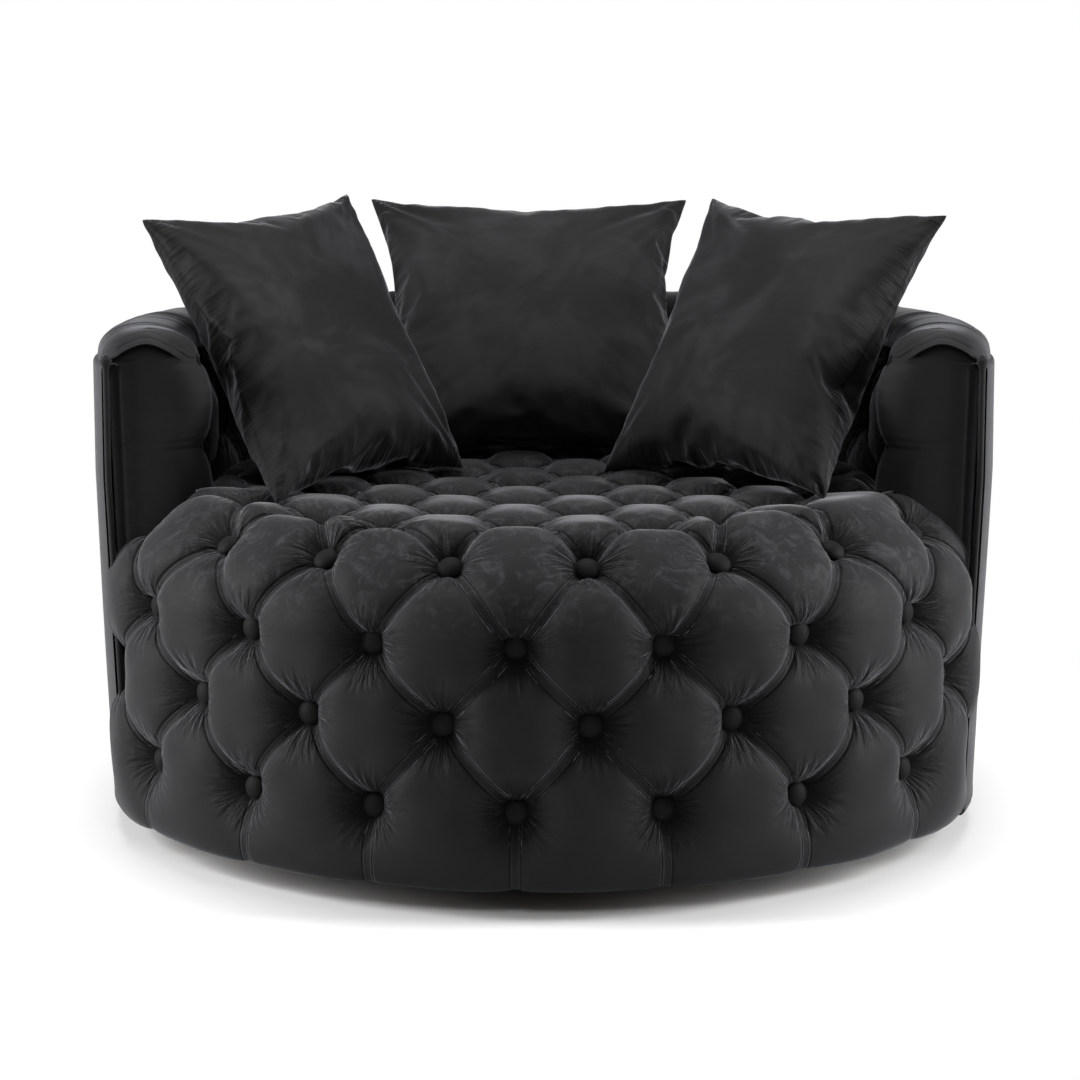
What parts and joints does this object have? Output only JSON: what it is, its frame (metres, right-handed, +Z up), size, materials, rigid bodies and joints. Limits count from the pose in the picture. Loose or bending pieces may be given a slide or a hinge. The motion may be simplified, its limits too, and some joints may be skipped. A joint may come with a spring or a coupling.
{
  "type": "swivel barrel cuddle chair",
  "caption": "Round swivel cuddle chair in black velvet: deep diamond-buttoned seat drum, padded barrel back and three loose square pillows.",
  "frame": {"origin": "on the floor under the swivel axis, at the centre glide's underside", "axes": "+Z up along the swivel axis, -Y towards the front of the chair, +X to the right as seen from the front"},
  "size_m": [1.08, 1.0721, 0.741],
  "materials": {
    "plywood": "sanded birch plywood",
    "timber": "planed softwood",
    "glide_plastic": "moulded",
    "plate_steel": "black powder coat",
    "bolt_steel": "zinc plated",
    "nylon": "moulded nylon",
    "webbing": "elastic webbing",
    "foam": "cut foam",
    "seat_velvet": "black velvet",
    "barrel_velvet": "black velvet",
    "button_velvet": "black velvet",
    "dust_cloth": "non-woven cloth",
    "pillow_velvet": "black velvet",
    "filling": "fibre filling"
  },
  "bodies": {
    "base": {"base_plinth": "plywood", "floor_glides": "glide_plastic", "king_pin": "plate_steel", "lower_bearing_plate": "plate_steel", "plinth_bolts": "bolt_steel"},
    "bearing_cage": {"roller_cage": "nylon", "bearing_rollers": "nylon"},
    "chair": {"upper_bearing_plate": "plate_steel", "seat_bolts": "bolt_steel", "seat_board": "plywood", "seat_top_hoop": "plywood", "seat_posts": "timber", "seat_front_skin": "plywood", "webbing_lengthwise": "webbing", "webbing_crosswise": "webbing", "seat_foam": "foam", "seat_top_pad": "seat_velvet", "seat_front_pad": "seat_velvet", "back_inner_pad": "barrel_velvet", "seat_row_lower_buttons": "button_velvet", "seat_row_second_buttons": "button_velvet", "seat_row_third_buttons": "button_velvet", "seat_row_top_buttons": "button_velvet", "back_buttons": "button_velvet", "seat_top_buttons": "button_velvet", "barrel_bottom_hoop": "plywood", "barrel_top_hoop": "plywood", "barrel_uprights": "timber", "barrel_brackets": "plate_steel", "barrel_bolts": "bolt_steel", "barrel_outer_panel": "barrel_velvet", "barrel_top_roll": "barrel_velvet", "arm_front_right": "barrel_velvet", "arm_front_left": "barrel_velvet", "welt_right": "barrel_velvet", "welt_left": "barrel_velvet", "dust_cover": "dust_cloth"},
    "pillow_left": {"pillow_left_cover": "pillow_velvet", "pillow_left_filling": "filling"},
    "pillow_centre": {"pillow_centre_cover": "pillow_velvet", "pillow_centre_filling": "filling"},
    "pillow_right": {"pillow_right_cover": "pillow_velvet", "pillow_right_filling": "filling"}
  },
  "joints": [
    {"name": "seat_swivel", "type": "hinge", "parent": "base", "child": "chair", "pos_m": [0, 0, 0.031], "axis": [0, 0, 1], "continuous": true},
    {"name": "cage_turn", "type": "hinge", "parent": "base", "child": "bearing_cage", "pos_m": [0, 0, 0.031], "axis": [0, 0, 1], "continuous": true},
    {"name": "pillow_left_lift", "type": "slide", "parent": "chair", "child": "pillow_left", "axis": [0, 0, 1], "range_m": [0, 0.4]},
    {"name": "pillow_centre_lift", "type": "slide", "parent": "chair", "child": "pillow_centre", "axis": [0, 0.7, 0.7141], "range_m": [0, 0.35]},
    {"name": "pillow_right_lift", "type": "slide", "parent": "chair", "child": "pillow_right", "axis": [0, 0, 1], "range_m": [0, 0.4]}
  ],
  "couplings": [
    {"joint": "cage_turn", "follows": "seat_swivel", "ratio": 0.5}
  ]
}
